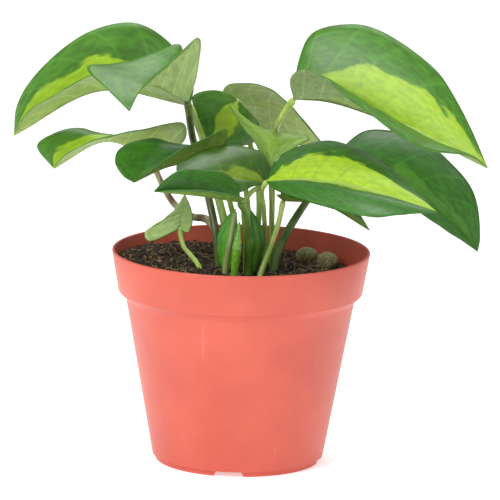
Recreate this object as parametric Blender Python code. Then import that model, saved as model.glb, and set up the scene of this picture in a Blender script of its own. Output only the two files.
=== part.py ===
"""A young variegated pothos in a round plastic nursery pot.

Every point below is in millimetres, measured from the pot's own axis at floor level: x to the right,
y to the back and z up. The whole plant is carried by an empty that stands the object's footprint on the
origin. Each leaf, stem and loose piece is its own object.
"""

import math

import bmesh
import bpy
import numpy as np
from mathutils import Vector

MM = 0.001
GAP = 0.3  # clearance between pieces that touch

# Where the pot's axis stands, so that the box round the whole object is centred on the origin.
POT_AXIS = (-3.0, 3.4)

# Pot: a thin turned shell with a straight collar on a tapered body.
POT_HEIGHT = 99.3
RIM_RADIUS = 60.0
COLLAR_FOOT_Z = 79.6
COLLAR_FOOT_RADIUS = 56.8
SHOULDER_Z = 76.5
SHOULDER_RADIUS = 53.2
FOOT_HEIGHT = 2.6
BODY_FOOT_RADIUS = 39.9
FOOT_RADIUS = 38.6
FOOT_RING_WIDTH = 3.0
WALL = 1.3
FLOOR_THICKNESS = 1.6
POT_SEGMENTS = 48

NOTCH_COUNT = 4
NOTCH_TURN = math.radians(-96)
NOTCH_TOP_WIDTH = 11.6
NOTCH_FOOT_WIDTH = 15.5
DRAIN_COUNT = 8
DRAIN_RADIUS = 2.6
DRAIN_RING_RADIUS = 28.0

# Soil: fills the pot, higher on the left than on the right.
SOIL_LEVEL = 90.6
SOIL_SLOPE = -0.075
SOIL_BUMP = 0.9
SOIL_RINGS = 6
SOIL_SEGMENTS = 32

PELLET_RADIUS = 5.4
PELLET_SQUASH = 0.80
PELLETS = {"feed_pellet_left": (31, 30, 90.5), "feed_pellet_right": (40.5, 22, 90)}

LEAF_THICKNESS = 0.6
LEAF_STATIONS = 9
LEAF_STEPS = 2  # faces across each half of a leaf

# Each leaf has its midrib from joint to tip, and the margins on its left and right as seen from the joint.
# bow lifts the middle of each half-blade towards its upper side.
LEAVES = {
    "leaf_upper_left": {
        "rib": [(-25, 26, 162), (-67, 16, 170), (-106, -4, 152)],
        "left": [(-34, 6, 172), (-52, -7, 180), (-69, -10, 182), (-84, -8, 174), (-100, -6, 163)],
        "right": [(-24, 33, 172), (-34, 34, 189), (-51, 30, 200), (-73, 26, 196), (-96, 12, 179), (-105, 2, 165)],
        "bow": 2.5,
        "kind": "marbled",
    },
    "leaf_upper_left_curled": {
        "rib": [(-26, -2, 169), (-45, -26, 180), (-52, -46, 172)],
        "left": [(-22, -10, 182), (-21, -15, 201), (-33, -28, 192), (-41, -36, 186), (-48, -43, 180)],
        "right": [(-29, 4, 182), (-30, 7, 194), (-44, 2, 190), (-58, -6, 187), (-72, -16, 187), (-62, -36, 180)],
        "bow": 1.0,
        "kind": "pale",
    },
    "leaf_left_twisted": {
        "rib": [(-42, 32, 135), (-64, 22, 145), (-88, 10, 134)],
        "left": [(-27, 22, 147), (-28, 19, 155), (-44, 15, 153), (-61, 10, 150), (-73, 6, 147), (-84, 6, 140)],
        "right": [(-33, 42, 145), (-50, 39, 144), (-69, 30, 148), (-78, 24, 151), (-89, 18, 149), (-96, 14, 144)],
        "bow": 1.0,
        "kind": "lime",
    },
    "leaf_left_front": {
        "rib": [(-11, 10, 139), (-33, -4, 139), (-50, -20, 134)],
        "left": [(-8, -2, 149), (-8, -10, 158), (-17, -14, 154), (-27, -18, 150), (-44, -23, 139)],
        "right": [(-17, 11, 145), (-31, 9, 147), (-43, 6, 150), (-57, 0, 146), (-59, -7, 141), (-55, -15, 136)],
        "bow": 2.0,
        "kind": "green",
    },
    "leaf_centre": {
        "rib": [(10, -14, 133), (-10, -28, 139), (-30, -38, 142)],
        "left": [(6, -22, 134), (-1, -28, 132), (-8, -32, 131), (-20, -37, 134)],
        "right": [(13, -10, 137), (9, -6, 146), (-4, -8, 150), (-16, -12, 149), (-25, -20, 146), (-30, -28, 144)],
        "bow": 2.0,
        "kind": "shaded",
    },
    "leaf_front_small": {
        "rib": [(-1, -32, 128), (-18, -50, 134), (-40, -66, 139)],
        "left": [(1, -43, 132), (-7, -55, 136), (-19, -64, 139), (-34, -70, 140)],
        "right": [(-2, -30, 135), (-8, -35, 142), (-21, -47, 146), (-29, -56, 147), (-35, -62, 144)],
        "bow": 1.5,
        "kind": "green",
    },
    "leaf_right_front": {
        "rib": [(11, -22, 136), (31, -37, 140), (55, -52, 139), (88, -66, 132)],
        "left": [(15, -12, 143), (21, -8, 148), (41, -14, 154), (60, -28, 149), (80, -55, 138)],
        "right": [(14, -28, 134), (33, -47, 131), (59, -66, 129), (72, -69, 131), (82, -69, 132)],
        "bow": 3.0,
        "kind": "marbled",
    },
    "leaf_upper_right": {
        "rib": [(23, 4, 170), (40, -3, 170), (76, -16, 160), (112, -32, 146)],
        "left": [(25, 8, 187), (31, 10, 200), (48, 8, 205), (62, 4, 203), (88, -8, 187), (97, -14, 175), (105, -22, 161)],
        "right": [(21, -6, 181), (27, -18, 188), (33, -23, 187), (54, -33, 173), (81, -42, 157), (105, -37, 152)],
        "bow": 3.0,
        "kind": "marbled",
    },
    "leaf_right_back": {
        "rib": [(42, 20, 136), (66, 17, 132), (90, 10, 118), (110, 2, 100)],
        "left": [(47, 30, 143), (58, 36, 150), (80, 34, 148), (95, 28, 139), (108, 16, 125), (111, 5, 106)],
        "right": [(45, 4, 132), (60, -6, 130), (82, -8, 120), (94, -7, 112), (104, -3, 105)],
        "bow": 3.0,
        "kind": "green",
    },
    "leaf_back_right": {
        "rib": [(-2, 48, 160), (19, 56, 154), (40, 54, 137)],
        "left": [(-6, 54, 153), (3, 60, 146), (11, 62, 144), (22, 62, 140), (32, 60, 136)],
        "right": [(-10, 44, 165), (-7, 40, 170), (9, 38, 170), (18, 40, 164), (34, 48, 145)],
        "bow": 1.5,
        "kind": "pale",
    },
    "leaf_back_left": {
        "rib": [(-3, 32, 164), (-9, 30, 155), (-15, 27, 142)],
        "left": [(3, 33, 158), (7, 38, 152), (6, 38, 144), (-8, 29, 142)],
        "right": [(-7, 32, 167), (-15, 30, 169), (-24, 29, 166), (-21, 28, 155), (-18, 27, 147)],
        "bow": 1.5,
        "kind": "lime",
    },
    "leaf_centre_young": {
        "rib": [(13, 3, 137), (11, 8, 150), (1, 12, 159), (-7, 15, 165)],
        "left": [(16, 4, 142), (23, 8, 146), (31, 14, 150), (24, 17, 151), (15, 17, 152), (7, 19, 153)],
        "right": [(9, 2, 142), (5, 5, 150), (0, 8, 155), (-4, 11, 161)],
        "bow": 1.0,
        "kind": "pale",
    },
    "leaf_right_low": {
        "rib": [(19, -6, 124), (38, -14, 124), (59, -22, 114)],
        "left": [(18, 0, 127), (24, 6, 131), (38, 2, 130), (50, -10, 125)],
        "right": [(16, -12, 128), (23, -18, 128), (36, -24, 126), (47, -26, 124), (54, -25, 120)],
        "bow": 1.0,
        "kind": "green",
    },
    "leaf_left_low": {
        "rib": [(-29, 14, 106), (-28, 20, 112), (-27, 26, 120)],
        "left": [(-25, 10, 105), (-23, 13, 110), (-24, 18, 115)],
        "right": [(-33, 8, 105), (-43, 3, 102), (-45, 9, 105), (-38, 15, 109), (-31, 22, 114)],
        "bow": 0.5,
        "kind": "pale",
    },
    "sprout_left": {
        "rib": [(-7, -12, 91), (-7, -11, 106), (-3, -11, 121)],
        "left": [(-10, -10, 96), (-11, -9, 106), (-8, -9, 115)],
        "right": [(-4, -14, 96), (-3, -14, 106), (-2, -13, 115)],
        "bow": 0.5,
        "kind": "fresh",
    },
    "sprout_right": {
        "rib": [(5, -12, 91), (7, -10, 105), (4, -9, 120)],
        "left": [(4, -14, 97), (5, -14, 106), (4, -12, 114)],
        "right": [(8, -9, 95), (11, -6, 104), (8, -6, 114)],
        "bow": 0.5,
        "kind": "fresh",
    },
}

# Each stem runs from its leaf's joint down to where it enters the soil, with its radius at both ends.
STEMS = {
    "stem_upper_left": ([(-25, 26, 162), (-22, 23, 155), (-18, 19, 145), (-11, 12, 121), (-7, 7, 105), (-6, 5, 84)], 1.5, 2.1),
    "stem_upper_left_curled": ([(-26, -2, 169), (-25, 6, 159), (-23, 13, 147), (-16, 10, 123), (-12, 3, 106), (-10, -1, 84)], 1.6, 1.9),
    "stem_left_twisted": ([(-42, 32, 135), (-40, 33, 128), (-32, 33, 114), (-24, 29, 109), (-16, 20, 109), (-10, 14, 101), (-9, 13, 84)], 1.3, 2.1),
    "stem_left_front": ([(-11, 10, 139), (-8, 13, 131), (-6, 11, 121), (-3, 11, 108), (-1, 10, 84)], 1.2, 1.4),
    "stem_centre": ([(10, -14, 133), (4, -13, 129), (1, -11, 122), (2, -9, 105), (2, -8, 84)], 1.1, 1.2),
    "stem_front_small": ([(-1, -32, 128), (2, -27, 121), (3, -21, 108), (3, -17, 92), (3, -17, 84)], 1.5, 1.6),
    "stem_right_front": ([(11, -22, 136), (9, -15, 130), (10, -7, 121), (11, 1, 102), (10, 2, 84)], 1.1, 1.1),
    "stem_upper_right": ([(23, 4, 170), (17, 12, 159), (15, 22, 151), (14, 20, 138), (14, 14, 118), (14, 13, 84)], 1.5, 1.3),
    "stem_right_back": ([(42, 20, 136), (30, 13, 120), (22, 7, 108), (17, 1, 98), (14, -2, 84)], 1.6, 2.1),
    "stem_back_right": ([(-2, 48, 160), (1, 48, 148), (6, 36, 132), (8, 22, 116), (6, 15, 84)], 1.2, 1.4),
    "stem_back_left": ([(-3, 32, 164), (-3, 42, 152), (-2, 38, 140), (2, 22, 121), (4, 11, 103), (3, 9, 84)], 1.2, 1.3),
    "stem_centre_young": ([(13, 3, 137), (13, 3, 128), (14, 5, 115), (15, 7, 102), (13, 7, 84)], 0.8, 1.0),
    "stem_right_low": ([(19, -6, 124), (17, -9, 114), (13, -13, 102), (9, -16, 91), (8, -17, 84)], 1.2, 1.4),
    "stem_left_low": ([(-29, 14, 106), (-27, 8, 99), (-23, -1, 96), (-19, -9, 92), (-17, -12, 84)], 1.1, 1.2),
    "shoot_stem": ([(-3, -19, 121), (-5, -19, 108), (-7, -18, 94), (-7, -17, 84)], 0.9, 1.7),
}

BUD = {"route": [(-1, -23, 117), (-2, -24, 104), (-3, -22, 92), (-3, -21, 85)], "radii": (0.4, 2.2, 1.7, 1.2)}

STEM_SIDES = 8
STEM_STATIONS = 9
JOINT_GAP = 1.0  # how far below the leaf's joint its stem ends
JOINT_TAPER = 0.55  # share of a stem's upper radius that is left at the joint

# Colours: base colour and roughness of each kind of material.
COLOURS = {
    "terracotta": ((0.47, 0.10, 0.065), 0.42),
    "peat": ((0.045, 0.028, 0.018), 0.95),
    "pellet": ((0.20, 0.18, 0.085), 0.85),
    "marbled": ((0.12, 0.30, 0.02), 0.35),
    "pale": ((0.25, 0.38, 0.10), 0.40),
    "lime": ((0.27, 0.42, 0.05), 0.38),
    "green": ((0.04, 0.15, 0.012), 0.35),
    "shaded": ((0.06, 0.13, 0.012), 0.38),
    "fresh": ((0.06, 0.28, 0.02), 0.30),
    "stem": ((0.16, 0.27, 0.05), 0.45),
}


def clear_scene():
    for obj in list(bpy.data.objects):
        bpy.data.objects.remove(obj)


def material(kind):
    """The Principled material of this kind, made once."""
    found = bpy.data.materials.get(kind)
    if found:
        return found
    made = bpy.data.materials.new(kind)
    made.use_nodes = True
    shader = made.node_tree.nodes["Principled BSDF"]
    colour, roughness = COLOURS[kind]
    shader.inputs["Base Color"].default_value = (*colour, 1)
    shader.inputs["Roughness"].default_value = roughness
    shader.inputs["Metallic"].default_value = 0
    return made


def add_object(name, bm, kind, parent):
    """Turns the bmesh, in millimetres, into an object with outward normals."""
    bmesh.ops.scale(bm, vec=(MM, MM, MM), verts=bm.verts)
    bmesh.ops.recalc_face_normals(bm, faces=bm.faces)
    mesh = bpy.data.meshes.new(name)
    bm.to_mesh(mesh)
    bm.free()
    mesh.materials.append(material(kind))
    obj = bpy.data.objects.new(name, mesh)
    bpy.context.scene.collection.objects.link(obj)
    obj.parent = parent
    return obj


def smooth_line(points, count):
    """Points at even shares along a smooth line through the given ones."""
    points = np.array(points, float)
    spans = np.sqrt(np.linalg.norm(np.diff(points, axis=0), axis=1))
    at = np.concatenate([[0], np.cumsum(spans)]) / spans.sum()
    slopes = np.diff(points, axis=0) / np.diff(at)[:, None]
    before = np.diff(at)[:-1, None]
    after = np.diff(at)[1:, None]
    middle = (slopes[:-1] * after + slopes[1:] * before) / (before + after)
    slopes = np.vstack([slopes[:1], middle, slopes[-1:]])
    line = []
    for share in np.linspace(0, 1, count):
        k = min(int(np.searchsorted(at, share, side="right")) - 1, len(points) - 2)
        span = at[k + 1] - at[k]
        t = (share - at[k]) / span
        start = (2 * t**3 - 3 * t**2 + 1) * points[k] + (t**3 - 2 * t**2 + t) * span * slopes[k]
        end = (3 * t**2 - 2 * t**3) * points[k + 1] + (t**3 - t**2) * span * slopes[k + 1]
        line.append(Vector(start + end))
    return line


def turned(profile, segments):
    """A solid of revolution whose profile of (radius, height) starts and ends on the axis."""
    bm = bmesh.new()
    rings = []
    for radius, height in profile:
        turns = [math.tau * i / segments for i in range(segments)] if radius else [0]
        rings.append([bm.verts.new((radius * math.cos(a), radius * math.sin(a), height)) for a in turns])
    join_rings(bm, rings)
    return bm


def join_rings(bm, rings):
    """Faces between neighbouring rings. A ring of one vertex is a pole."""
    for near, far in zip(rings, rings[1:]):
        count = max(len(near), len(far))
        for i in range(count):
            j = (i + 1) % count
            if len(near) == 1:
                bm.faces.new((near[0], far[j], far[i]))
            elif len(far) == 1:
                bm.faces.new((near[i], near[j], far[0]))
            else:
                bm.faces.new((near[i], near[j], far[j], far[i]))


def tube(line, radii, sides):
    """A round solid along a line, with flat ends. radii gives the radius at each point of the line."""
    bm = bmesh.new()
    rings = []
    side = Vector((1, 0, 0))
    for k, point in enumerate(line):
        ahead = line[min(k + 1, len(line) - 1)]
        behind = line[max(k - 1, 0)]
        along = (ahead - behind).normalized()
        side = (side - along * side.dot(along)).normalized()
        up = along.cross(side)
        ring = []
        for i in range(sides):
            turn = math.tau * i / sides
            ring.append(bm.verts.new(point + radii[k] * (math.cos(turn) * side + math.sin(turn) * up)))
        rings.append(ring)
    join_rings(bm, rings)
    bm.faces.new(rings[0])
    bm.faces.new(rings[-1])
    return bm


def cut(obj, cutter):
    """Cuts one object out of another and keeps the cutter as a hidden helper."""
    cutter.hide_render = True
    cutter.display_type = "WIRE"
    boolean = obj.modifiers.new(cutter.name, "BOOLEAN")
    boolean.operation = "DIFFERENCE"
    boolean.solver = "EXACT"
    boolean.object = cutter


def inner_radius(height):
    """Radius of the pot's inner wall at this height."""
    heights = (FOOT_HEIGHT, SHOULDER_Z, COLLAR_FOOT_Z, POT_HEIGHT)
    outer = (BODY_FOOT_RADIUS, SHOULDER_RADIUS, COLLAR_FOOT_RADIUS, RIM_RADIUS)
    return float(np.interp(height, heights, outer)) - WALL


def make_pot(parent):
    floor_top = FOOT_HEIGHT + FLOOR_THICKNESS
    lip = 0.5
    profile = [
        (0, floor_top),
        (inner_radius(floor_top) - 1, floor_top),
        (inner_radius(floor_top), floor_top + 1),
        (inner_radius(SHOULDER_Z), SHOULDER_Z),
        (inner_radius(COLLAR_FOOT_Z), COLLAR_FOOT_Z),
        (inner_radius(POT_HEIGHT), POT_HEIGHT - lip),
        (RIM_RADIUS - WALL + lip, POT_HEIGHT),
        (RIM_RADIUS - lip, POT_HEIGHT),
        (RIM_RADIUS, POT_HEIGHT - lip),
        (COLLAR_FOOT_RADIUS, COLLAR_FOOT_Z),
        (SHOULDER_RADIUS, SHOULDER_Z),
        (BODY_FOOT_RADIUS, FOOT_HEIGHT),
        (FOOT_RADIUS, FOOT_HEIGHT - lip),
        (FOOT_RADIUS - lip, 0),
        (FOOT_RADIUS - FOOT_RING_WIDTH, 0),
        (FOOT_RADIUS - FOOT_RING_WIDTH, FOOT_HEIGHT),
        (0, FOOT_HEIGHT),
    ]
    pot = add_object("pot", turned(profile, POT_SEGMENTS), "terracotta", parent)
    for number in range(NOTCH_COUNT):
        cut(pot, notch_cutter(number, parent))
    for number in range(DRAIN_COUNT):
        cut(pot, drain_cutter(number, parent))
    return pot


def notch_cutter(number, parent):
    """A wedge that opens the foot ring, wider at the floor than at its top."""
    bm = bmesh.new()
    inside = FOOT_RADIUS - 2 * FOOT_RING_WIDTH
    outside = FOOT_RADIUS + FOOT_RING_WIDTH
    ends = []
    for radius in (inside, outside):
        end = [
            (radius, -NOTCH_FOOT_WIDTH / 2, -1),
            (radius, NOTCH_FOOT_WIDTH / 2, -1),
            (radius, NOTCH_TOP_WIDTH / 2, FOOT_HEIGHT - GAP),
            (radius, -NOTCH_TOP_WIDTH / 2, FOOT_HEIGHT - GAP),
        ]
        ends.append([bm.verts.new(corner) for corner in end])
    join_rings(bm, ends)
    bm.faces.new(ends[0])
    bm.faces.new(ends[1])
    cutter = add_object(f"notch_cutter_{number}", bm, "terracotta", parent)
    cutter.rotation_euler.z = NOTCH_TURN + math.tau * number / NOTCH_COUNT
    return cutter


def drain_cutter(number, parent):
    turn = math.tau * (number + 0.5) / DRAIN_COUNT
    x = DRAIN_RING_RADIUS * math.cos(turn)
    y = DRAIN_RING_RADIUS * math.sin(turn)
    line = [Vector((x, y, 0)), Vector((x, y, 2 * (FOOT_HEIGHT + FLOOR_THICKNESS)))]
    bm = tube(line, [DRAIN_RADIUS] * 2, 10)
    return add_object(f"drain_cutter_{number}", bm, "terracotta", parent)


def soil_height(x, y):
    """Height of the soil: a slope to the right with low humps."""
    humps = math.sin(0.19 * x + 1) * math.cos(0.23 * y) + 0.6 * math.sin(0.31 * y - 0.12 * x)
    return SOIL_LEVEL + SOIL_SLOPE * x + SOIL_BUMP * humps


def make_soil(parent):
    """A plug that follows the pot's inner wall, with an uneven top."""
    bm = bmesh.new()
    bottom = FOOT_HEIGHT + FLOOR_THICKNESS + GAP
    clearance = 1.3 * GAP
    top_radius = inner_radius(SOIL_LEVEL) - clearance
    rings = [[bm.verts.new((0, 0, bottom))]]
    for height in (bottom, SHOULDER_Z, COLLAR_FOOT_Z):
        radius = inner_radius(height) - clearance - (1 if height == bottom else 0)
        rings.append(soil_ring(bm, radius, height))
    for step in range(SOIL_RINGS):
        rings.append(soil_ring(bm, top_radius * (1 - step / SOIL_RINGS), None))
    rings.append([bm.verts.new((0, 0, soil_height(0, 0)))])
    join_rings(bm, rings)
    return add_object("soil", bm, "peat", parent)


def soil_ring(bm, radius, height):
    """One ring of the plug. Without a height it lies on the soil's surface, clear of the wall."""
    ring = []
    for i in range(SOIL_SEGMENTS):
        turn = math.tau * i / SOIL_SEGMENTS
        x = radius * math.cos(turn)
        y = radius * math.sin(turn)
        z = soil_height(x, y) if height is None else height
        reach = min(1, (inner_radius(z) - 1.3 * GAP) / radius)
        ring.append(bm.verts.new((x * reach, y * reach, z)))
    return ring


def make_pellet(name, centre, soil, parent):
    """A slow-release feed ball, half sunk in a hollow of its own."""
    pellet = ball(name, centre, PELLET_RADIUS, parent)
    cut(soil, ball(f"hollow_of_{name}", centre, PELLET_RADIUS + GAP, parent))
    return pellet


def ball(name, centre, radius, parent):
    bm = bmesh.new()
    bmesh.ops.create_uvsphere(bm, u_segments=14, v_segments=9, radius=radius)
    bmesh.ops.scale(bm, vec=(1, 1, PELLET_SQUASH), verts=bm.verts)
    obj = add_object(name, bm, "pellet", parent)
    obj.location = Vector(centre) * MM
    return obj


def leaf_surface(leaf, stations, steps):
    """Rows of points across the leaf, from its joint to its tip, with the left margin first."""
    rib = smooth_line(leaf["rib"], stations)
    margins = []
    for side in ("left", "right"):
        margins.append(smooth_line([leaf["rib"][0], *leaf[side], leaf["rib"][-1]], stations))
    rows = [[rib[0]]]
    for k in range(1, stations - 1):
        along = (rib[k + 1] - rib[k - 1]).normalized()
        fullness = math.sin(math.pi * k / (stations - 1))
        row = []
        for step in range(-steps, steps + 1):
            across = abs(step) / steps
            sign = 1 if step > 0 else -1
            out = margins[sign > 0][k] - rib[k]
            upper = (sign * out).cross(along).normalized()
            lift = leaf["bow"] * fullness * 4 * across * (1 - across)
            row.append(rib[k] + across * out + lift * upper)
        rows.append(row)
    rows.append([rib[-1]])
    return rows


def make_leaf(name, leaf, parent):
    bm = bmesh.new()
    rows = []
    for row in leaf_surface(leaf, LEAF_STATIONS, LEAF_STEPS):
        rows.append([bm.verts.new(point) for point in row])
    for near, far in zip(rows, rows[1:]):
        for i in range(max(len(near), len(far)) - 1):
            if len(near) == 1:
                bm.faces.new((near[0], far[i + 1], far[i]))
            elif len(far) == 1:
                bm.faces.new((near[i], near[i + 1], far[0]))
            else:
                bm.faces.new((near[i], near[i + 1], far[i + 1], far[i]))
    obj = add_object(name, bm, leaf["kind"], parent)
    skin = obj.modifiers.new("thickness", "SOLIDIFY")
    skin.thickness = LEAF_THICKNESS * MM
    skin.offset = 0
    return obj


def stem_line(route):
    """The stem's smooth line, which starts just short of the leaf's joint."""
    start = Vector(route[0])
    start += JOINT_GAP * (Vector(route[1]) - start).normalized()
    return smooth_line([start, *route[1:]], STEM_STATIONS)


def make_stem(name, route, top_radius, foot_radius, soil, parent):
    line = stem_line(route)
    radii = [top_radius + (foot_radius - top_radius) * k / (len(line) - 1) for k in range(len(line))]
    radii[0] *= JOINT_TAPER
    stem = add_object(name, tube(line, radii, STEM_SIDES), "stem", parent)
    cut_socket(name, line, radii, soil, parent)
    return stem


def cut_socket(name, line, radii, soil, parent):
    """A hole in the soil round the foot of a stem."""
    foot = line[-4:] + [line[-1] + GAP * (line[-1] - line[-2]).normalized()]
    wide = [radius + GAP for radius in radii[-4:]]
    wide.append(wide[-1])
    cut(soil, add_object(f"socket_of_{name}", tube(foot, wide, STEM_SIDES), "stem", parent))


def make_bud(soil, parent):
    """A new leaf that is still rolled up."""
    line = smooth_line(BUD["route"], STEM_STATIONS)
    shares = np.linspace(0, len(BUD["radii"]) - 1, STEM_STATIONS)
    radii = [float(np.interp(share, range(len(BUD["radii"])), BUD["radii"])) for share in shares]
    add_object("rolled_leaf", tube(line, radii, STEM_SIDES), "fresh", parent)
    cut_socket("rolled_leaf", line, radii, soil, parent)


def seated(leaf):
    """The sprout with its foot just above the soil."""
    x, y, _ = leaf["rib"][0]
    foot = (x, y, soil_height(x, y) + 2 * GAP)
    return {**leaf, "rib": [foot, *leaf["rib"][1:]]}


def main():
    clear_scene()
    plant = bpy.data.objects.new("plant", None)
    bpy.context.scene.collection.objects.link(plant)
    plant.location = (POT_AXIS[0] * MM, POT_AXIS[1] * MM, 0)
    make_pot(plant)
    soil = make_soil(plant)
    for name, centre in PELLETS.items():
        make_pellet(name, centre, soil, plant)
    for name, leaf in LEAVES.items():
        make_leaf(name, seated(leaf) if name.startswith("sprout") else leaf, plant)
    for name, (route, top_radius, foot_radius) in STEMS.items():
        make_stem(name, route, top_radius, foot_radius, soil, plant)
    make_bud(soil, plant)


main()
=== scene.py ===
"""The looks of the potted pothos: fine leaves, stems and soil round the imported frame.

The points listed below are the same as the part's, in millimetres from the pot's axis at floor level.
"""

import math
import random

import bpy
import numpy as np
from mathutils import Matrix, Vector, noise


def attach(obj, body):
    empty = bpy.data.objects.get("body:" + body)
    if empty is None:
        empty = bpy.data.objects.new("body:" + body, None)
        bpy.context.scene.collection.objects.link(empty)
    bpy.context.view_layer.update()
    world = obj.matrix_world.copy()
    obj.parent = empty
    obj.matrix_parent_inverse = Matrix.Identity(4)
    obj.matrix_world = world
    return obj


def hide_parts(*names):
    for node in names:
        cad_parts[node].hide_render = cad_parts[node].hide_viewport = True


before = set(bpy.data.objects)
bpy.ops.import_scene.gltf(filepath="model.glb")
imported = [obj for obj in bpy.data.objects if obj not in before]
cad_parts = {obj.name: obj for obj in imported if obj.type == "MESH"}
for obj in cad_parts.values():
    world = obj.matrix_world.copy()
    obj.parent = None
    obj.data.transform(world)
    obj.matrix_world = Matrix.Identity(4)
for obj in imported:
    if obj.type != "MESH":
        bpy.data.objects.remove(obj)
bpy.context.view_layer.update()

MM = 0.001
POT_AXIS = (-3.0, 3.4)
WALL = 1.3
RIM_RADIUS = 60.0

# Height and outer radius at the foot, the shoulder, the collar's lower edge and the rim.
POT_SHAPE = ((2.6, 39.9), (76.5, 53.2), (79.6, 56.8), (99.3, RIM_RADIUS))
POT_SEGMENTS = 192
POT_FLOOR = 1.6  # thickness
FOOT_RING = (38.1, 35.6)  # outer and inner radius where it stands

NOTCH_COUNT = 4
NOTCH_TURN = math.radians(-96)
NOTCH_REACH = (32.6, 41.6)  # from inside to outside the foot ring
NOTCH_HALF_WIDTHS = (7.75, 5.8)  # at the floor and at its top
NOTCH_HEIGHTS = (-1, 2.3)
DRAIN_COUNT = 8
DRAIN_RADIUS = 2.6
DRAIN_RING_RADIUS = 28.0

SOIL_BOTTOM = 4.5
SOIL_LEVEL = 90.6
SOIL_SLOPE = -0.075
SOIL_BUMP = 0.9
PELLET_RADIUS = 5.4
PELLET_SQUASH = 0.80
PELLETS = {"feed_pellet_left": (31, 30, 90.5), "feed_pellet_right": (40.5, 22, 90)}

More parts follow.
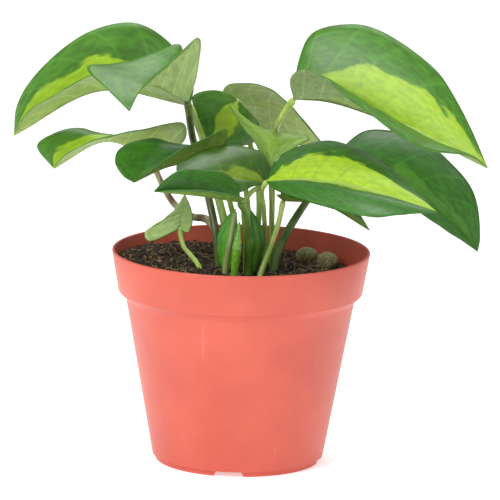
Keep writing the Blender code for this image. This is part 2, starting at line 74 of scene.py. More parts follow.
# Each leaf has its midrib from joint to tip, and the margins on its left and right as seen from the joint.
# bow lifts the middle of each half-blade towards its upper side.
LEAVES = {
    "leaf_upper_left": {
        "rib": [(-25, 26, 162), (-67, 16, 170), (-106, -4, 152)],
        "left": [(-34, 6, 172), (-52, -7, 180), (-69, -10, 182), (-84, -8, 174), (-100, -6, 163)],
        "right": [(-24, 33, 172), (-34, 34, 189), (-51, 30, 200),
            (-73, 26, 196), (-96, 12, 179), (-105, 2, 165)],
        "bow": 2.5,
        "kind": "marbled",
    },
    "leaf_upper_left_curled": {
        "rib": [(-26, -2, 169), (-45, -26, 180), (-52, -46, 172)],
        "left": [(-22, -10, 182), (-21, -15, 201), (-33, -28, 192), (-41, -36, 186), (-48, -43, 180)],
        "right": [(-29, 4, 182), (-30, 7, 194), (-44, 2, 190),
            (-58, -6, 187), (-72, -16, 187), (-62, -36, 180)],
        "bow": 1.0,
        "kind": "pale",
    },
    "leaf_left_twisted": {
        "rib": [(-42, 32, 135), (-64, 22, 145), (-88, 10, 134)],
        "left": [(-27, 22, 147), (-28, 19, 155), (-44, 15, 153),
            (-61, 10, 150), (-73, 6, 147), (-84, 6, 140)],
        "right": [(-33, 42, 145), (-50, 39, 144), (-69, 30, 148),
            (-78, 24, 151), (-89, 18, 149), (-96, 14, 144)],
        "bow": 1.0,
        "kind": "lime",
    },
    "leaf_left_front": {
        "rib": [(-11, 10, 139), (-33, -4, 139), (-50, -20, 134)],
        "left": [(-8, -2, 149), (-8, -10, 158), (-17, -14, 154), (-27, -18, 150), (-44, -23, 139)],
        "right": [(-17, 11, 145), (-31, 9, 147), (-43, 6, 150),
            (-57, 0, 146), (-59, -7, 141), (-55, -15, 136)],
        "bow": 2.0,
        "kind": "green",
    },
    "leaf_centre": {
        "rib": [(10, -14, 133), (-10, -28, 139), (-30, -38, 142)],
        "left": [(6, -22, 134), (-1, -28, 132), (-8, -32, 131), (-20, -37, 134)],
        "right": [(13, -10, 137), (9, -6, 146), (-4, -8, 150),
            (-16, -12, 149), (-25, -20, 146), (-30, -28, 144)],
        "bow": 2.0,
        "kind": "shaded",
    },
    "leaf_front_small": {
        "rib": [(-1, -32, 128), (-18, -50, 134), (-40, -66, 139)],
        "left": [(1, -43, 132), (-7, -55, 136), (-19, -64, 139), (-34, -70, 140)],
        "right": [(-2, -30, 135), (-8, -35, 142), (-21, -47, 146), (-29, -56, 147), (-35, -62, 144)],
        "bow": 1.5,
        "kind": "green",
    },
    "leaf_right_front": {
        "rib": [(11, -22, 136), (31, -37, 140), (55, -52, 139), (88, -66, 132)],
        "left": [(15, -12, 143), (21, -8, 148), (41, -14, 154), (60, -28, 149), (80, -55, 138)],
        "right": [(14, -28, 134), (33, -47, 131), (59, -66, 129), (72, -69, 131), (82, -69, 132)],
        "bow": 3.0,
        "kind": "marbled",
    },
    "leaf_upper_right": {
        "rib": [(23, 4, 170), (40, -3, 170), (76, -16, 160), (112, -32, 146)],
        "left": [(25, 8, 187), (31, 10, 200), (48, 8, 205), (62, 4, 203),
            (88, -8, 187), (97, -14, 175), (105, -22, 161)],
        "right": [(21, -6, 181), (27, -18, 188), (33, -23, 187),
            (54, -33, 173), (81, -42, 157), (105, -37, 152)],
        "bow": 3.0,
        "kind": "marbled",
    },
    "leaf_right_back": {
        "rib": [(42, 20, 136), (66, 17, 132), (90, 10, 118), (110, 2, 100)],
        "left": [(47, 30, 143), (58, 36, 150), (80, 34, 148), (95, 28, 139), (108, 16, 125), (111, 5, 106)],
        "right": [(45, 4, 132), (60, -6, 130), (82, -8, 120), (94, -7, 112), (104, -3, 105)],
        "bow": 3.0,
        "kind": "green",
    },
    "leaf_back_right": {
        "rib": [(-2, 48, 160), (19, 56, 154), (40, 54, 137)],
        "left": [(-6, 54, 153), (3, 60, 146), (11, 62, 144), (22, 62, 140), (32, 60, 136)],
        "right": [(-10, 44, 165), (-7, 40, 170), (9, 38, 170), (18, 40, 164), (34, 48, 145)],
        "bow": 1.5,
        "kind": "pale",
    },
    "leaf_back_left": {
        "rib": [(-3, 32, 164), (-9, 30, 155), (-15, 27, 142)],
        "left": [(3, 33, 158), (7, 38, 152), (6, 38, 144), (-8, 29, 142)],
        "right": [(-7, 32, 167), (-15, 30, 169), (-24, 29, 166), (-21, 28, 155), (-18, 27, 147)],
        "bow": 1.5,
        "kind": "lime",
    },
    "leaf_centre_young": {
        "rib": [(13, 3, 137), (11, 8, 150), (1, 12, 159), (-7, 15, 165)],
        "left": [(16, 4, 142), (23, 8, 146), (31, 14, 150), (24, 17, 151), (15, 17, 152), (7, 19, 153)],
        "right": [(9, 2, 142), (5, 5, 150), (0, 8, 155), (-4, 11, 161)],
        "bow": 1.0,
        "kind": "pale",
    },
    "leaf_right_low": {
        "rib": [(19, -6, 124), (38, -14, 124), (59, -22, 114)],
        "left": [(18, 0, 127), (24, 6, 131), (38, 2, 130), (50, -10, 125)],
        "right": [(16, -12, 128), (23, -18, 128), (36, -24, 126), (47, -26, 124), (54, -25, 120)],
        "bow": 1.0,
        "kind": "green",
    },
    "leaf_left_low": {
        "rib": [(-29, 14, 106), (-28, 20, 112), (-27, 26, 120)],
        "left": [(-25, 10, 105), (-23, 13, 110), (-24, 18, 115)],
        "right": [(-33, 8, 105), (-43, 3, 102), (-45, 9, 105), (-38, 15, 109), (-31, 22, 114)],
        "bow": 0.5,
        "kind": "pale",
    },
    "sprout_left": {
        "rib": [(-7, -12, 91), (-7, -11, 106), (-3, -11, 121)],
        "left": [(-10, -10, 96), (-11, -9, 106), (-8, -9, 115)],
        "right": [(-4, -14, 96), (-3, -14, 106), (-2, -13, 115)],
        "bow": 0.5,
        "kind": "fresh",
    },
    "sprout_right": {
        "rib": [(5, -12, 91), (7, -10, 105), (4, -9, 120)],
        "left": [(4, -14, 97), (5, -14, 106), (4, -12, 114)],
        "right": [(8, -9, 95), (11, -6, 104), (8, -6, 114)],
        "bow": 0.5,
        "kind": "fresh",
    },
}

# Each stem runs from its leaf's joint down to where it enters the soil, with its radius at both ends.
STEMS = {
    "stem_upper_left": ([(-25, 26, 162), (-22, 23, 155), (-18, 19, 145),
        (-11, 12, 121), (-7, 7, 105), (-6, 5, 84)], 1.5, 2.1),
    "stem_upper_left_curled": ([(-26, -2, 169), (-25, 6, 159), (-23, 13, 147),
        (-16, 10, 123), (-12, 3, 106), (-10, -1, 84)], 1.6, 1.9),
    "stem_left_twisted": ([(-42, 32, 135), (-40, 33, 128), (-32, 33, 114),
        (-24, 29, 109), (-16, 20, 109), (-10, 14, 101), (-9, 13, 84)], 1.3, 2.1),
    "stem_left_front": ([(-11, 10, 139), (-8, 13, 131),
        (-6, 11, 121), (-3, 11, 108), (-1, 10, 84)], 1.2, 1.4),
    "stem_centre": ([(10, -14, 133), (4, -13, 129), (1, -11, 122), (2, -9, 105), (2, -8, 84)], 1.1, 1.2),
    "stem_front_small": ([(-1, -32, 128), (2, -27, 121),
        (3, -21, 108), (3, -17, 92), (3, -17, 84)], 1.5, 1.6),
    "stem_right_front": ([(11, -22, 136), (9, -15, 130),
        (10, -7, 121), (11, 1, 102), (10, 2, 84)], 1.1, 1.1),
    "stem_upper_right": ([(23, 4, 170), (17, 12, 159), (15, 22, 151),
        (14, 20, 138), (14, 14, 118), (14, 13, 84)], 1.5, 1.3),
    "stem_right_back": ([(42, 20, 136), (30, 13, 120), (22, 7, 108), (17, 1, 98), (14, -2, 84)], 1.6, 2.1),
    "stem_back_right": ([(-2, 48, 160), (1, 48, 148), (6, 36, 132), (8, 22, 116), (6, 15, 84)], 1.2, 1.4),
    "stem_back_left": ([(-3, 32, 164), (-3, 42, 152), (-2, 38, 140),
        (2, 22, 121), (4, 11, 103), (3, 9, 84)], 1.2, 1.3),
    "stem_centre_young": ([(13, 3, 137), (13, 3, 128), (14, 5, 115), (15, 7, 102), (13, 7, 84)], 0.8, 1.0),
    "stem_right_low": ([(19, -6, 124), (17, -9, 114),
        (13, -13, 102), (9, -16, 91), (8, -17, 84)], 1.2, 1.4),
    "stem_left_low": ([(-29, 14, 106), (-27, 8, 99), (-23, -1, 96),
        (-19, -9, 92), (-17, -12, 84)], 1.1, 1.2),
    "shoot_stem": ([(-3, -19, 121), (-5, -19, 108), (-7, -18, 94), (-7, -17, 84)], 0.9, 1.7),
}

BUD = {"route": [(-1, -23, 117), (-2, -24, 104), (-3, -22, 92),
    (-3, -21, 85)], "radii": (0.4, 2.2, 1.7, 1.2)}

LEAF_THICKNESS = 0.45
LEAF_STATIONS = 49
LEAF_STEPS = 12
STEM_SIDES = 20
STEM_STATIONS = 40
VEIN_RELIEF = 0.16

# The camera stands in front of the pot and a little above it, far off with a long lens.
CAMERA_TILT = math.radians(12.6)
CAMERA_DISTANCE = 2500.0
CAMERA_ROLL = math.radians(1.07)
CAMERA_AIM = (0, 0, 60)
CAMERA_LENS = 386.0
CAMERA_OFFSET = (4.1, 38.4)  # how far right of and above the aimed place the middle of the view is


# ---- shapes ----


def to_world(point):
    return Vector(((point[0] + POT_AXIS[0]) * MM, (point[1] + POT_AXIS[1]) * MM, point[2] * MM))


def smooth_line(points, count):
    """Points at even shares along a smooth line through the given ones."""
    points = np.array(points, float)
    spans = np.sqrt(np.linalg.norm(np.diff(points, axis=0), axis=1))
    at = np.concatenate([[0], np.cumsum(spans)]) / spans.sum()
    slopes = np.diff(points, axis=0) / np.diff(at)[:, None]
    before = np.diff(at)[:-1, None]
    after = np.diff(at)[1:, None]
    middle = (slopes[:-1] * after + slopes[1:] * before) / (before + after)
    slopes = np.vstack([slopes[:1], middle, slopes[-1:]])
    line = []
    for share in np.linspace(0, 1, count):
        k = min(int(np.searchsorted(at, share, side="right")) - 1, len(points) - 2)
        span = at[k + 1] - at[k]
        t = (share - at[k]) / span
        start = (2 * t**3 - 3 * t**2 + 1) * points[k] + (t**3 - 2 * t**2 + t) * span * slopes[k]
        end = (3 * t**2 - 2 * t**3) * points[k + 1] + (t**3 - t**2) * span * slopes[k + 1]
        line.append(Vector(start + end))
    return line


def new_object(name, points, faces, smooth=True):
    mesh = bpy.data.meshes.new(name)
    mesh.from_pydata([to_world(point) for point in points], [], faces)
    mesh.validate()
    mesh.update()
    mesh.polygons.foreach_set("use_smooth", [smooth] * len(mesh.polygons))
    obj = bpy.data.objects.new(name, mesh)
    bpy.context.scene.collection.objects.link(obj)
    return obj


def leaf_skin(leaf):
    """Points and faces of the blade's middle surface, and each point's place along and across it."""
    rib = smooth_line(leaf["rib"], LEAF_STATIONS)
    margins = []
    for side in ("left", "right"):
        margins.append(smooth_line([leaf["rib"][0], *leaf[side], leaf["rib"][-1]], LEAF_STATIONS))
    points = [rib[0]]
    places = [(0, 0)]
    for k in range(1, LEAF_STATIONS - 1):
        along = (rib[k + 1] - rib[k - 1]).normalized()
        share = k / (LEAF_STATIONS - 1)
        fullness = math.sin(math.pi * share)
        for step in range(-LEAF_STEPS, LEAF_STEPS + 1):
            across = abs(step) / LEAF_STEPS
            sign = 1 if step > 0 else -1
            out = margins[sign > 0][k] - rib[k]
            upper = (sign * out).cross(along).normalized()
            lift = leaf["bow"] * fullness * 4 * across * (1 - across)
            ripple = VEIN_RELIEF * fullness * math.sin(math.tau * (7 * share - 1.6 * across)) * across
            points.append(rib[k] + across * out + (lift + ripple) * upper)
            places.append((share, step / LEAF_STEPS))
    points.append(rib[-1])
    places.append((1, 0))
    return points, blade_faces(len(points) - 1), places


def blade_faces(tip):
    row = 2 * LEAF_STEPS + 1
    faces = []
    for i in range(row - 1):
        faces.append((0, 2 + i, 1 + i))
        for k in range(LEAF_STATIONS - 3):
            near = 1 + k * row + i
            faces.append((near, near + 1, near + 1 + row, near + row))
        last = 1 + (LEAF_STATIONS - 3) * row + i
        faces.append((last, last + 1, tip))
    return faces


def make_leaf(name, leaf):
    points, faces, places = leaf_skin(leaf)
    obj = new_object(f"{name}_blade", points, faces)
    width = half_width(leaf)
    length = (Vector(leaf["rib"][0]) - Vector(leaf["rib"][-1])).length
    flat = []
    rim = []
    for share, across in places:
        flat += [share * length / 10, across * width / 10, share]
        rim.append(abs(across))
    obj.data.attributes.new("blade", "FLOAT_VECTOR", "POINT").data.foreach_set("vector", flat)
    obj.data.attributes.new("rim", "FLOAT", "POINT").data.foreach_set("value", rim)
    skin = obj.modifiers.new("thickness", "SOLIDIFY")
    skin.thickness = LEAF_THICKNESS * MM
    skin.offset = 0
    skin.material_offset = 1
    skin.material_offset_rim = 0
    look = LOOKS[name]
    obj.data.materials.append(leaf_material(name, look, upper_side=True))
    obj.data.materials.append(leaf_material(name, look, upper_side=False))
    finish_piece(obj, name)


def half_width(leaf):
    middle = Vector(leaf["rib"][len(leaf["rib"]) // 2])
    return max((Vector(point) - middle).length for point in leaf["left"] + leaf["right"])


def tube(name, line, radii):
    points = []
    side = Vector((1, 0, 0))
    for k, point in enumerate(line):
        along = (line[min(k + 1, len(line) - 1)] - line[max(k - 1, 0)]).normalized()
        side = (side - along * side.dot(along)).normalized()
        up = along.cross(side)
        for i in range(STEM_SIDES):
            turn = math.tau * i / STEM_SIDES
            points.append(point + radii[k] * (math.cos(turn) * side + math.sin(turn) * up))
    faces = [tuple(range(STEM_SIDES))[::-1]]
    for k in range(len(line) - 1):
        for i in range(STEM_SIDES):
            j = (i + 1) % STEM_SIDES
            a = k * STEM_SIDES
            b = a + STEM_SIDES
            faces.append((a + i, a + j, b + j, b + i))
    faces.append(tuple(len(points) - STEM_SIDES + i for i in range(STEM_SIDES)))
    return new_object(name, points, [face[::-1] for face in faces])


def finish_piece(obj, node):
    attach(obj, "root")
    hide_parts(node)


def make_stem(name, route, top_radius, foot_radius):
    line = smooth_line(route, STEM_STATIONS)
    radii = []
    for k in range(STEM_STATIONS):
        share = k / (STEM_STATIONS - 1)
        flare = 1 + 0.16 * math.exp(-((share - 0.04) / 0.05) ** 2)
        radii.append((top_radius + (foot_radius - top_radius) * share) * flare)
    radii[0] *= 0.7
    stem = tube(f"{name}_stalk", line, radii)
    stem.data.materials.append(stem_material(name))
    finish_piece(stem, name)


def make_rolled_leaf():
    line = smooth_line(BUD["route"], STEM_STATIONS)
    shares = np.linspace(0, len(BUD["radii"]) - 1, STEM_STATIONS)
    radii = [float(np.interp(share, range(len(BUD["radii"])), BUD["radii"])) for share in shares]
    roll = tube("rolled_leaf_roll", line, radii)
    roll.data.materials.append(quilted_material())
    finish_piece(roll, "rolled_leaf")


def inner_radius(height):
    """Radius of the pot's inner wall at this height."""
    heights, radii = zip(*POT_SHAPE)
    return float(np.interp(height, heights, radii)) - WALL


def pot_profile():
    """Radius and height down the inside, over the rounded lip and down the outside to the foot ring."""
    (foot_z, foot_r), (shoulder_z, shoulder_r), (collar_z, collar_r), (rim_z, rim_r) = POT_SHAPE
    lip = WALL / 2
    floor_z = foot_z + POT_FLOOR
    profile = [(0, floor_z), (foot_r - WALL - 1, floor_z), (foot_r - WALL, floor_z + 1)]
    profile += [(shoulder_r - WALL, shoulder_z), (collar_r - WALL, collar_z)]
    profile.append((rim_r - WALL, rim_z - lip))
    for step in range(1, 6):
        turn = math.pi * step / 6
        profile.append((rim_r - lip - lip * math.cos(turn), rim_z - lip + lip * math.sin(turn)))
    profile += [(rim_r, rim_z - lip), (collar_r + 0.12, collar_z + 0.9), (collar_r - 0.1, collar_z + 0.3)]
    profile += [(collar_r - 0.5, collar_z), (shoulder_r + 0.3, shoulder_z + 0.3)]
    profile.append((shoulder_r, shoulder_z - 0.4))
    ring_outside, ring_inside = FOOT_RING
    profile += [(foot_r, foot_z), (ring_outside + 0.5, foot_z - 0.4), (ring_outside + 0.3, 0.3)]
    profile += [(ring_outside, 0), (ring_inside, 0), (ring_inside, foot_z), (0, foot_z)]
    return profile


def turned(name, profile, segments):
    points = []
    rings = []
    for radius, height in profile:
        count = segments if radius else 1
        rings.append(range(len(points), len(points) + count))
        for i in range(count):
            turn = math.tau * i / segments
            points.append((radius * math.cos(turn), radius * math.sin(turn), height))
    faces = []
    for near, far in zip(rings, rings[1:]):
        for i in range(segments):
            j = (i + 1) % segments
            if len(near) == 1:
                faces.append((near[0], far[i], far[j]))
            elif len(far) == 1:
                faces.append((near[i], far[0], near[j]))
            else:
                faces.append((near[i], far[i], far[j], near[j]))
    return new_object(name, points, faces)


def block(name, corners):
    """A closed six-sided solid from its four inner and four outer corners."""
    faces = [(0, 1, 2, 3), (7, 6, 5, 4), (0, 4, 5, 1), (1, 5, 6, 2), (2, 6, 7, 3), (3, 7, 4, 0)]
    return new_object(name, corners, [face[::-1] for face in faces], smooth=False)


def notch_cutter(number):
    """A wedge that opens the foot ring, wider at the floor than at its top."""
    turn = NOTCH_TURN + math.tau * number / NOTCH_COUNT
    outward = Vector((math.cos(turn), math.sin(turn), 0))
    aside = Vector((-math.sin(turn), math.cos(turn), 0))
    wide, narrow = NOTCH_HALF_WIDTHS
    low, high = NOTCH_HEIGHTS
    corners = []
    for radius in NOTCH_REACH:
        for half, height in ((-wide, low), (wide, low), (narrow, high), (-narrow, high)):
            corners.append(radius * outward + half * aside + Vector((0, 0, height)))
    return block(f"notch_cutter_{number}", corners)


def drain_cutter(number):
    turn = math.tau * (number + 0.5) / DRAIN_COUNT
    foot = DRAIN_RING_RADIUS * Vector((math.cos(turn), math.sin(turn), 0))
    return tube(f"drain_cutter_{number}", [foot, foot + Vector((0, 0, 9))], [DRAIN_RADIUS] * 2)


def make_pot():
    shell = turned("pot_shell", pot_profile(), POT_SEGMENTS)
    cutters = [notch_cutter(number) for number in range(NOTCH_COUNT)]
    cutters += [drain_cutter(number) for number in range(DRAIN_COUNT)]
    for cutter in cutters:
        boolean = shell.modifiers.new(cutter.name, "BOOLEAN")
        boolean.operation = "DIFFERENCE"
        boolean.solver = "EXACT"
        boolean.object = cutter
    bpy.context.view_layer.update()
    cut = bpy.data.meshes.new_from_object(shell.evaluated_get(bpy.context.evaluated_depsgraph_get()))
    shell.modifiers.clear()
    shell.data = cut
    for cutter in cutters:
        bpy.data.objects.remove(cutter)
    cut.polygons.foreach_set("use_smooth", [True] * len(cut.polygons))
    cut.set_sharp_from_angle(angle=math.radians(32))
    cut.materials.clear()
    cut.materials.append(pot_material())
    finish_piece(shell, "pot")


def soil_height(x, y):
    """Height of the soil: a slope to the right with low humps and crumbs."""
    humps = math.sin(0.19 * x + 1) * math.cos(0.23 * y) + 0.6 * math.sin(0.31 * y - 0.12 * x)
    crumbs = noise.fractal(Vector((x, y, 0)) * 0.35, 0.7, 2.1, 5)
    return SOIL_LEVEL + SOIL_SLOPE * x + SOIL_BUMP * humps + 1.3 * crumbs


def make_soil():
    rings = 90
    segments = 300
    points = [(0, 0, soil_height(0, 0))]
    reach = inner_radius(SOIL_LEVEL) - 0.5
    for ring in range(1, rings + 1):
        radius = reach * ring / rings
        for i in range(segments):
            turn = math.tau * i / segments
            x = radius * math.cos(turn)
            y = radius * math.sin(turn)
            points.append((x, y, soil_height(x, y)))
    for height in (79.6, 76.5, SOIL_BOTTOM):
        radius = inner_radius(height) - (1.6 if height == SOIL_BOTTOM else 0.5)
        for i in range(segments):
            turn = math.tau * i / segments
            points.append((radius * math.cos(turn), radius * math.sin(turn), height))
    points.append((0, 0, SOIL_BOTTOM))
    faces = []
    for i in range(segments):
        j = (i + 1) % segments
        faces.append((0, 1 + i, 1 + j))
        for ring in range(rings + 2):
            a = 1 + ring * segments
            faces.append((a + i, a + segments + i, a + segments + j, a + j))
        a = 1 + (rings + 2) * segments
        faces.append((a + i, len(points) - 1, a + j))
    soil = new_object("soil_plug", points, faces)
    soil.data.materials.append(soil_material())
    finish_piece(soil, "soil")


def free_spot(rng, margin):
    """A place on the soil, by polar draw, clear of the wall."""
    radius = (inner_radius(SOIL_LEVEL) - margin) * math.sqrt(rng.random())
    turn = math.tau * rng.random()
    return radius * math.cos(turn), radius * math.sin(turn)


# A lump is an octahedron whose corners are drawn apart.
LUMP_CORNERS = ((1, 0, 0), (-1, 0, 0), (0, 1, 0), (0, -1, 0), (0, 0, 1), (0, 0, -1))
LUMP_FACES = ((0, 2, 4), (2, 1, 4), (1, 3, 4), (3, 0, 4), (2, 0, 5), (1, 2, 5), (3, 1, 5), (0, 3, 5))


def make_crumbs(name, count, sizes, colour, seed, flatness=0.7):
    """Many small lumps that lie half in the soil, as one mesh."""
    rng = random.Random(seed)
    points = []
    faces = []
    for _ in range(count):
        x, y = free_spot(rng, 2.5)
        size = rng.uniform(*sizes)
        centre = Vector((x, y, soil_height(x, y) + 0.25 * size))
        angle = rng.uniform(0, math.tau)
        pole = Vector((rng.random(), rng.random(), rng.random() + 0.1))
        turn = Matrix.Rotation(angle, 3, pole)
        start = len(points)
        for corner in LUMP_CORNERS:
            stretch = Vector((rng.uniform(0.6, 1.3), rng.uniform(0.6, 1.3), flatness * rng.uniform(0.6, 1.2)))
            points.append(centre + turn @ (size * Vector(a * b for a, b in zip(corner, stretch))))
        faces += [tuple(start + i for i in face) for face in LUMP_FACES]
    crumbs = new_object(name, points, faces, smooth=False)
    crumbs.data.materials.append(crumb_material(name, colour))
    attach(crumbs, "root")


def make_fibres():
    """Thin pale coir fibres that lie on the soil, as one mesh of three-sided threads."""
    rng = random.Random(11)
    points = []
    faces = []
    for _ in range(260):
        x, y = free_spot(rng, 6)
        heading = rng.uniform(0, math.tau)
        curl = rng.uniform(-0.35, 0.35)
        thickness = rng.uniform(0.10, 0.28)
        length = rng.uniform(2.5, 8)
        start = len(points)
        for step in range(7):
            z = soil_height(x, y) + thickness + 0.5 * math.sin(math.pi * step / 6)
            aside = Vector((-math.sin(heading), math.cos(heading), 0)) * thickness
            middle = Vector((x, y, z))
            points += [middle - aside, middle + aside, middle + Vector((0, 0, 1.5 * thickness))]
            x += length / 6 * math.cos(heading)
            y += length / 6 * math.sin(heading)
            heading += curl
            room = (inner_radius(SOIL_LEVEL) - 2) / max(1, math.hypot(x, y))
            x *= min(1, room)
            y *= min(1, room)
        for step in range(6):
            a = start + 3 * step
            for i in range(3):
                j = (i + 1) % 3
                faces.append((a + i, a + j, a + 3 + j, a + 3 + i))
        faces += [(start + 2, start + 1, start), (start + 18, start + 19, start + 20)]
    fibres = new_object("soil_fibres", points, faces)
    fibres.data.materials.append(crumb_material("soil_fibres", (0.30, 0.19, 0.09)))
    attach(fibres, "root")


def make_pellet(name, centre):
    rings = 24
    sides = 40
    points = []
    for ring in range(rings + 1):
        fall = math.pi * ring / rings
        for i in range(sides if 0 < ring < rings else 1):
            turn = math.tau * i / sides
            way = Vector((math.sin(fall) * math.cos(turn), math.sin(fall) * math.sin(turn), math.cos(fall)))
            radius = PELLET_RADIUS * (1 + 0.035 * noise.fractal(way * 2.2 + Vector(centre), 0.8, 2, 4))
            points.append(Vector(centre) + radius * Vector((way.x, way.y, way.z * PELLET_SQUASH)))
    faces = []
    last = len(points) - 1
    for i in range(sides):
        j = (i + 1) % sides
        faces.append((0, 1 + i, 1 + j))
        for ring in range(rings - 2):
            a = 1 + ring * sides
            faces.append((a + i, a + sides + i, a + sides + j, a + j))
        faces.append((last - sides + i, last, last - sides + j))
    pellet = new_object(f"{name}_ball", points, faces)
    pellet.data.materials.append(pellet_material())
    finish_piece(pellet, name)


# ---- materials ----


class Nodes:
    """A short way to build one material's node tree."""

    def __init__(self, name, roughness, coat=0.0):
        self.material = bpy.data.materials.new(name)
        self.material.use_nodes = True
        self.tree = self.material.node_tree
        self.shader = self.tree.nodes["Principled BSDF"]
        self.shader.inputs["Roughness"].default_value = roughness
        self.shader.inputs["Coat Weight"].default_value = coat
        self.shader.inputs["Coat Roughness"].default_value = 0.25

    def put(self, socket, value):
        if isinstance(value, bpy.types.NodeSocket):
            self.tree.links.new(value, socket)
        else:
            socket.default_value = value

    def math(self, operation, a, b=0.0):
        node = self.tree.nodes.new("ShaderNodeMath")
        node.operation = operation
        self.put(node.inputs[0], a)
        self.put(node.inputs[1], b)
        return node.outputs[0]

    def step(self, value, low, high):
        """0 below low and 1 above high, with a soft step between."""
        node = self.tree.nodes.new("ShaderNodeMapRange")
        node.interpolation_type = "SMOOTHSTEP"
        self.put(node.inputs["Value"], value)
        node.inputs["From Min"].default_value = low
        node.inputs["From Max"].default_value = high
        return node.outputs["Result"]

    def mix(self, share, a, b):
        node = self.tree.nodes.new("ShaderNodeMix")
        node.data_type = "RGBA"
        self.put(node.inputs["Factor"], share)
        self.put(node.inputs[6], a if isinstance(a, bpy.types.NodeSocket) else (*a, 1))
        self.put(node.inputs[7], b if isinstance(b, bpy.types.NodeSocket) else (*b, 1))
        return node.outputs[2]

    def attribute(self, name, output):
        node = self.tree.nodes.new("ShaderNodeAttribute")
        node.attribute_name = name
        return node.outputs[output]

    def split(self, vector):
        node = self.tree.nodes.new("ShaderNodeSeparateXYZ")
        self.tree.links.new(vector, node.inputs[0])
        return node.outputs

    def place(self):
        return self.tree.nodes.new("ShaderNodeTexCoord").outputs["Object"]

    def noise(self, vector, scale, detail=4.0, stretch=(1, 1, 1), shift=0.0):
        mapping = self.tree.nodes.new("ShaderNodeMapping")
        mapping.inputs["Scale"].default_value = stretch
        mapping.inputs["Location"].default_value = (shift, shift, shift)
        self.tree.links.new(vector, mapping.inputs["Vector"])
        node = self.tree.nodes.new("ShaderNodeTexNoise")
        node.inputs["Scale"].default_value = scale
        node.inputs["Detail"].default_value = detail
        self.tree.links.new(mapping.outputs[0], node.inputs["Vector"])
        return node.outputs["Fac"]

    def bump(self, height, strength, distance):
        node = self.tree.nodes.new("ShaderNodeBump")
        node.inputs["Strength"].default_value = strength
        node.inputs["Distance"].default_value = distance
        self.tree.links.new(height, node.inputs["Height"])
        self.tree.links.new(node.outputs[0], self.shader.inputs["Normal"])

    def colour(self, value):
        self.put(self.shader.inputs["Base Color"], value)
        return self.material


# Each leaf's look: its green, its lime, how far the lime reaches from the midrib into the left and right
# halves as a share of their width, how much more lime the tip has, and the colour of its underside.
DEEP = (0.035, 0.17, 0.006)
MID = (0.07, 0.24, 0.010)
LIME = (0.38, 0.60, 0.02)
PALE = (0.38, 0.52, 0.18)
DULL = (0.16, 0.28, 0.04)
LOOKS = {
    "leaf_upper_left": (MID, LIME, 0.30, 0.46, 0.55, PALE),
    "leaf_upper_left_curled": (MID, LIME, -0.2, -0.2, 0.2, PALE),
    "leaf_left_twisted": (MID, LIME, 0.5, 0.55, -0.1, PALE),
    "leaf_left_front": (DEEP, MID, 0.0, 0.1, 0.2, DULL),
    # leaf_centre: its darker green and dull olive lime are painted shade, for a leaf lying below the upper
    # leaves.
    "leaf_centre": ((0.05, 0.14, 0.008), (0.22, 0.34, 0.02), 0.1, 0.15, -0.9, DULL),
    "leaf_front_small": (DEEP, LIME, 0.0, 0.12, -0.2, DULL),
    "leaf_right_front": (DEEP, LIME, 0.52, 0.12, 0.1, DULL),
    "leaf_upper_right": (MID, LIME, 0.55, 0.2, 0.45, (0.30, 0.40, 0.17)),
    "leaf_right_back": (DEEP, MID, 0.2, 0.1, 0.5, DULL),
    "leaf_back_right": (MID, LIME, 0.1, 0.1, 0.2, PALE),
    "leaf_back_left": (MID, LIME, 0.4, 0.3, 0.2, (0.20, 0.33, 0.05)),
    "leaf_centre_young": (MID, LIME, 0.2, 0.2, 0.0, (0.20, 0.36, 0.05)),
    "leaf_right_low": (DEEP, MID, 0.1, 0.1, 0.1, DULL),
    "leaf_left_low": ((0.12, 0.40, 0.02), (0.30, 0.45, 0.16), 0.1, 0.7, 0.3, PALE),
    "sprout_left": ((0.07, 0.33, 0.012), (0.12, 0.42, 0.02), 0.3, 0.3, 0.0, (0.10, 0.36, 0.02)),
    "sprout_right": ((0.05, 0.26, 0.010), (0.12, 0.40, 0.02), 0.3, 0.3, 0.0, (0.08, 0.30, 0.02)),
}


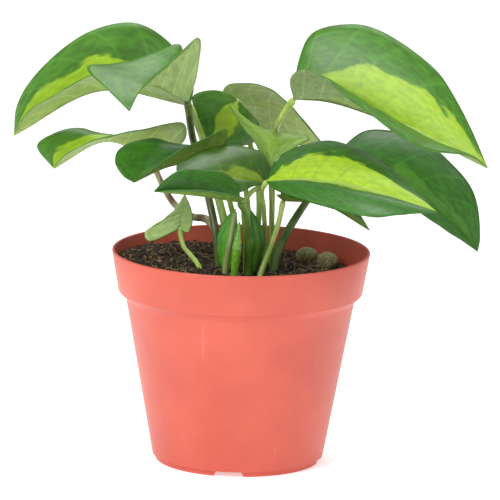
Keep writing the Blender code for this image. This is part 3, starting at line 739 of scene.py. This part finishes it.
def leaf_material(name, look, upper_side):
    """Green with ragged lime patches that follow the veins, a pale midrib and quilting between the veins."""
    green, lime, reach_left, reach_right, tip_gain, under = look
    if upper_side:
        nodes = Nodes(f"{name}_upper", 0.42, 0.06)
    else:
        nodes = Nodes(f"{name}_under", 0.55)
    place = nodes.attribute("blade", "Vector")
    _, across, share = nodes.split(place)
    rim = nodes.attribute("rim", "Fac")
    seed = sum(map(ord, name)) % 97
    ragged = nodes.noise(place, 0.7, 4, (1, 1, 0), seed)
    mottled = nodes.noise(place, 2.6, 6, (1, 1, 0), seed + 5)
    side = nodes.step(across, -0.01, 0.01)
    reach = nodes.math("ADD", nodes.math("MULTIPLY", side, reach_right - reach_left), reach_left)
    gain = nodes.math("MULTIPLY", nodes.math("SUBTRACT", share, 0.5), tip_gain)
    wander = nodes.math("MULTIPLY", nodes.math("SUBTRACT", ragged, 0.5), 0.7)
    field = nodes.math("SUBTRACT", nodes.math("ADD", nodes.math("ADD", reach, gain), wander), rim)
    patch = nodes.step(field, -0.04, 0.05)
    tone = nodes.step(mottled, 0.3, 0.7)
    darker = tuple(0.62 * c for c in green)
    bright = tuple(0.78 * c for c in lime)
    surface = nodes.mix(patch, nodes.mix(tone, darker, green), nodes.mix(tone, bright, lime))
    wave = nodes.math("SUBTRACT", nodes.math("MULTIPLY", share, 7.0), nodes.math("MULTIPLY", rim, 1.6))
    vein = nodes.math("SINE", nodes.math("MULTIPLY", wave, math.tau))
    vein_line = nodes.step(vein, 0.90, 1.0)
    midrib = nodes.math("SUBTRACT", 1.0, nodes.step(rim, 0.012, 0.05))
    if not upper_side:
        dull = tuple(0.72 * c for c in under)
        surface = nodes.mix(nodes.math("MULTIPLY", patch, 0.25), nodes.mix(tone, dull, under), lime)
    vein_share = nodes.math("MULTIPLY", vein_line, 0.22 if upper_side else 0.30)
    vein_colour = tuple(min(1, 1.5 * c + 0.02) for c in (green if upper_side else under))
    surface = nodes.mix(vein_share, surface, vein_colour)
    surface = nodes.mix(nodes.math("MULTIPLY", midrib, 0.55), surface, (0.30, 0.42, 0.12))
    fine = nodes.noise(place, 18, 3, (1, 1, 0), seed)
    height = nodes.math("ADD", nodes.math("MULTIPLY", vein, -0.25), nodes.math("MULTIPLY", fine, 0.35))
    height = nodes.math("SUBTRACT", height, nodes.math("MULTIPLY", midrib, 0.8))
    nodes.bump(height, 0.35, 0.0006)
    return nodes.colour(surface)


STEM_COLOURS = {
    # stem_upper_left_curled: its near-black green pair is painted shade, where the stalk runs under the
    # leaves.
    "stem_upper_left_curled": ((0.12, 0.19, 0.03), (0.05, 0.07, 0.015)),
    "stem_left_twisted": ((0.48, 0.50, 0.26), (0.20, 0.10, 0.05)),
    "stem_front_small": ((0.13, 0.25, 0.03), (0.07, 0.16, 0.02)),
    # stem_right_back: its dark olive pair is painted shade, where the stalk runs under the leaves above it.
    "stem_right_back": ((0.10, 0.20, 0.03), (0.05, 0.12, 0.02)),
    "shoot_stem": ((0.40, 0.44, 0.20), (0.26, 0.34, 0.10)),
}
STEM_COMMON = ((0.48, 0.62, 0.17), (0.28, 0.44, 0.07))


def stem_material(name):
    """Smooth green stalk with long streaks."""
    light, dark = STEM_COLOURS.get(name, STEM_COMMON)
    nodes = Nodes(f"{name}_skin", 0.42, 0.12)
    streak = nodes.step(nodes.noise(nodes.place(), 260, 4, (1, 1, 0.06)), 0.35, 0.68)
    spots = nodes.step(nodes.noise(nodes.place(), 90, 5), 0.62, 0.72)
    surface = nodes.mix(streak, dark, light)
    nodes.bump(streak, 0.2, 0.0002)
    return nodes.colour(nodes.mix(nodes.math("MULTIPLY", spots, 0.35), surface, (0.16, 0.13, 0.04)))


def quilted_material():
    """Glossy new leaf, puckered across its roll."""
    nodes = Nodes("rolled_leaf_skin", 0.2, 0.5)
    cells = nodes.tree.nodes.new("ShaderNodeTexVoronoi")
    cells.inputs["Scale"].default_value = 420
    nodes.tree.links.new(nodes.place(), cells.inputs["Vector"])
    nodes.bump(cells.outputs["Distance"], 0.6, 0.0006)
    return nodes.colour(nodes.mix(cells.outputs["Distance"], (0.30, 0.55, 0.05), (0.07, 0.34, 0.02)))


def pot_material():
    """Semi-matt terracotta-coloured plastic with faint cloudy wear and turning lines."""
    nodes = Nodes("pot_plastic", 0.44, 0.05)
    cloud = nodes.step(nodes.noise(nodes.place(), 28, 5), 0.35, 0.7)
    scuff = nodes.step(nodes.noise(nodes.place(), 160, 6, (1, 1, 0.15)), 0.66, 0.74)
    lines = nodes.noise(nodes.place(), 1400, 2, (0.02, 0.02, 1))
    surface = nodes.mix(cloud, (0.55, 0.085, 0.052), (0.62, 0.105, 0.065))
    surface = nodes.mix(nodes.math("MULTIPLY", scuff, 0.22), surface, (0.72, 0.34, 0.26))
    nodes.bump(lines, 0.12, 0.0002)
    return nodes.colour(surface)


def soil_material():
    """Brown-black peat with tan and mossy bits."""
    nodes = Nodes("peat", 0.95)
    grain = nodes.step(nodes.noise(nodes.place(), 420, 6), 0.42, 0.66)
    tan = nodes.step(nodes.noise(nodes.place(), 700, 3), 0.60, 0.68)
    moss = nodes.step(nodes.noise(nodes.place(), 120, 4), 0.58, 0.7)
    surface = nodes.mix(grain, (0.010, 0.006, 0.004), (0.075, 0.045, 0.024))
    surface = nodes.mix(nodes.math("MULTIPLY", tan, 0.7), surface, (0.30, 0.20, 0.10))
    surface = nodes.mix(nodes.math("MULTIPLY", moss, 0.35), surface, (0.09, 0.085, 0.02))
    nodes.bump(grain, 0.9, 0.0012)
    return nodes.colour(surface)


def crumb_material(name, colour):
    nodes = Nodes(f"{name}_look", 0.9)
    tone = nodes.noise(nodes.place(), 500, 4)
    dark = tuple(0.45 * c for c in colour)
    nodes.bump(tone, 0.5, 0.0004)
    return nodes.colour(nodes.mix(nodes.step(tone, 0.35, 0.65), dark, colour))


def pellet_material():
    """Dull olive-grey granule with a fine crust."""
    nodes = Nodes("pellet_crust", 0.85)
    crust = nodes.noise(nodes.place(), 900, 6)
    stain = nodes.step(nodes.noise(nodes.place(), 180, 4), 0.4, 0.65)
    nodes.bump(crust, 0.6, 0.0004)
    surface = nodes.mix(nodes.step(crust, 0.4, 0.62), (0.16, 0.145, 0.06), (0.30, 0.28, 0.14))
    return nodes.colour(nodes.mix(nodes.math("MULTIPLY", stain, 0.4), surface, (0.12, 0.12, 0.035)))


# ---- studio ----


def make_studio():
    reach = 3000
    corners = [(-reach, -reach, 0), (reach, -reach, 0), (reach, reach, 0), (-reach, reach, 0)]
    floor = new_object("floor", corners, [(0, 1, 2, 3)])
    nodes = Nodes("floor_paper", 0.9)
    nodes.colour(nodes.mix(nodes.noise(nodes.place(), 3), (0.93, 0.93, 0.93), (0.96, 0.96, 0.96)))
    nodes.shader.inputs["Emission Color"].default_value = (1, 1, 1, 1)
    nodes.shader.inputs["Emission Strength"].default_value = 0.45
    floor.data.materials.append(nodes.material)
    world = bpy.data.worlds.new("studio")
    world.use_nodes = True
    world.node_tree.nodes["Background"].inputs["Color"].default_value = (1, 1, 1, 1)
    world.node_tree.nodes["Background"].inputs["Strength"].default_value = 0.45
    bpy.context.scene.world = world
    bpy.context.scene.view_settings.view_transform = "Standard"
    add_light("key", (-700, -900, 900), 650, 14)
    add_light("fill", (900, -700, 500), 700, 2)
    add_light("top", (100, 500, 1100), 700, 6)


def add_light(name, place, size, power):
    light = bpy.data.lights.new(name, "AREA")
    light.size = size * MM
    light.energy = power
    lamp = bpy.data.objects.new(name, light)
    lamp.location = to_world(place)
    aim = to_world((0, 0, 110)) - lamp.location
    lamp.rotation_euler = aim.to_track_quat("-Z", "Y").to_euler()
    bpy.context.scene.collection.objects.link(lamp)


def make_camera():
    """The camera sees the pot from a little above and points somewhat over its rim."""
    forward = Vector((0, math.cos(CAMERA_TILT), -math.sin(CAMERA_TILT)))
    up = Vector((0, math.sin(CAMERA_TILT), math.cos(CAMERA_TILT)))
    right = Vector((1, 0, 0))
    stand = Vector(CAMERA_AIM) - CAMERA_DISTANCE * forward
    seen_middle = Vector(CAMERA_AIM) + CAMERA_OFFSET[0] * right + CAMERA_OFFSET[1] * up
    camera = bpy.data.cameras.new("camera")
    camera.lens = CAMERA_LENS
    camera.clip_end = 20
    holder = bpy.data.objects.new("camera", camera)
    turn = (seen_middle - stand).to_track_quat("-Z", "Y").to_matrix().to_4x4()
    roll = Matrix.Rotation(CAMERA_ROLL, 4, "Z")
    holder.matrix_world = Matrix.Translation(to_world(stand)) @ turn @ roll
    bpy.context.scene.collection.objects.link(holder)
    bpy.context.scene.camera = holder


def seated(leaf):
    """The sprout with its foot in the soil."""
    x, y, _ = leaf["rib"][0]
    return {**leaf, "rib": [(x, y, SOIL_LEVEL - 1), *leaf["rib"][1:]]}


def main():
    make_pot()
    make_soil()
    make_crumbs("peat_crumbs", 900, (0.5, 1.5), (0.06, 0.036, 0.02), 3)
    make_crumbs("bark_bits", 220, (0.5, 1.6), (0.22, 0.13, 0.06), 5)
    make_crumbs("moss_bits", 120, (0.5, 1.4), (0.13, 0.13, 0.03), 7)
    make_crumbs("perlite_bits", 26, (0.5, 1.1), (0.80, 0.78, 0.72), 9)
    make_fibres()
    for name, centre in PELLETS.items():
        make_pellet(name, centre)
    for name, leaf in LEAVES.items():
        make_leaf(name, seated(leaf) if name.startswith("sprout") else leaf)
    for name, (route, top_radius, foot_radius) in STEMS.items():
        make_stem(name, route, top_radius, foot_radius)
    make_rolled_leaf()
    make_studio()
    make_camera()


main()
